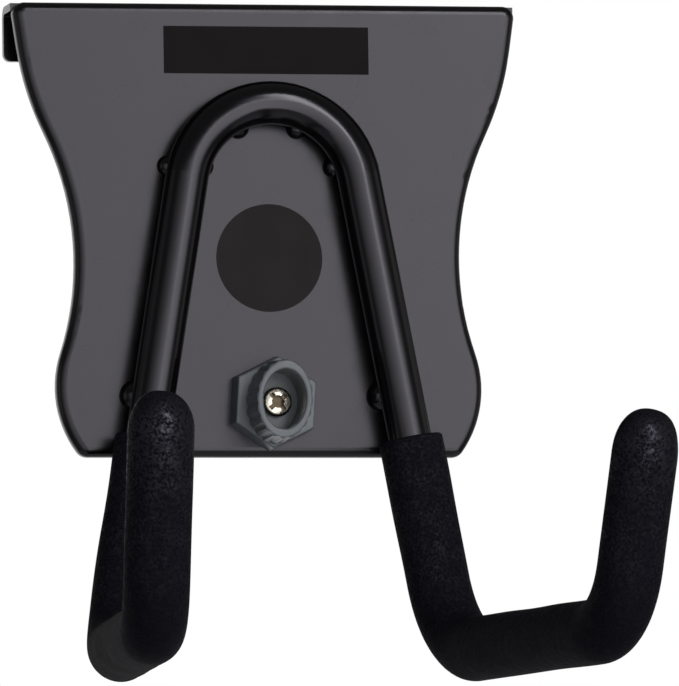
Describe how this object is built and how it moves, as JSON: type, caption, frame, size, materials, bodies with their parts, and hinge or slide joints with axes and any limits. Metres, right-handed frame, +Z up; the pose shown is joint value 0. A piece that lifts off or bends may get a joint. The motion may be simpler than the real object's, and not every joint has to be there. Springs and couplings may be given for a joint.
{
  "type": "garage wall utility hook",
  "caption": "Pressed steel plate that hangs on a wall rail by its rear lip, with a welded rod bent into two foam-covered hooks and a turn lock at the bottom.",
  "frame": {"origin": "middle of the underside of the top flange, at the plate's rear face, where the rail's top edge bears", "axes": "+Z up as hung, +Y towards the wall, +X to the right as seen from the front"},
  "size_m": [0.124, 0.1628, 0.1601],
  "materials": {
    "plate_paint": "satin gloss black powder coat",
    "rod_paint": "gloss black powder coat",
    "foam": "matte closed-cell foam, lightly speckled",
    "lock_plastic": "moulded slate-grey plastic",
    "cam_plastic": "moulded black plastic",
    "screw_metal": "bright zinc plate"
  },
  "bodies": {
    "hook": {"back_plate": "plate_paint", "hook_rod": "rod_paint", "weld_tacks": "rod_paint", "left_grip": "foam", "right_grip": "foam"},
    "lock": {"lock_knob": "lock_plastic", "lock_cam": "cam_plastic", "lock_screw": "screw_metal"}
  },
  "joints": [
    {"name": "lock_turn", "type": "hinge", "parent": "hook", "child": "lock", "pos_m": [0, 0, -0.0913], "axis": [0, -1, 0], "range_deg": [0, 90]}
  ]
}
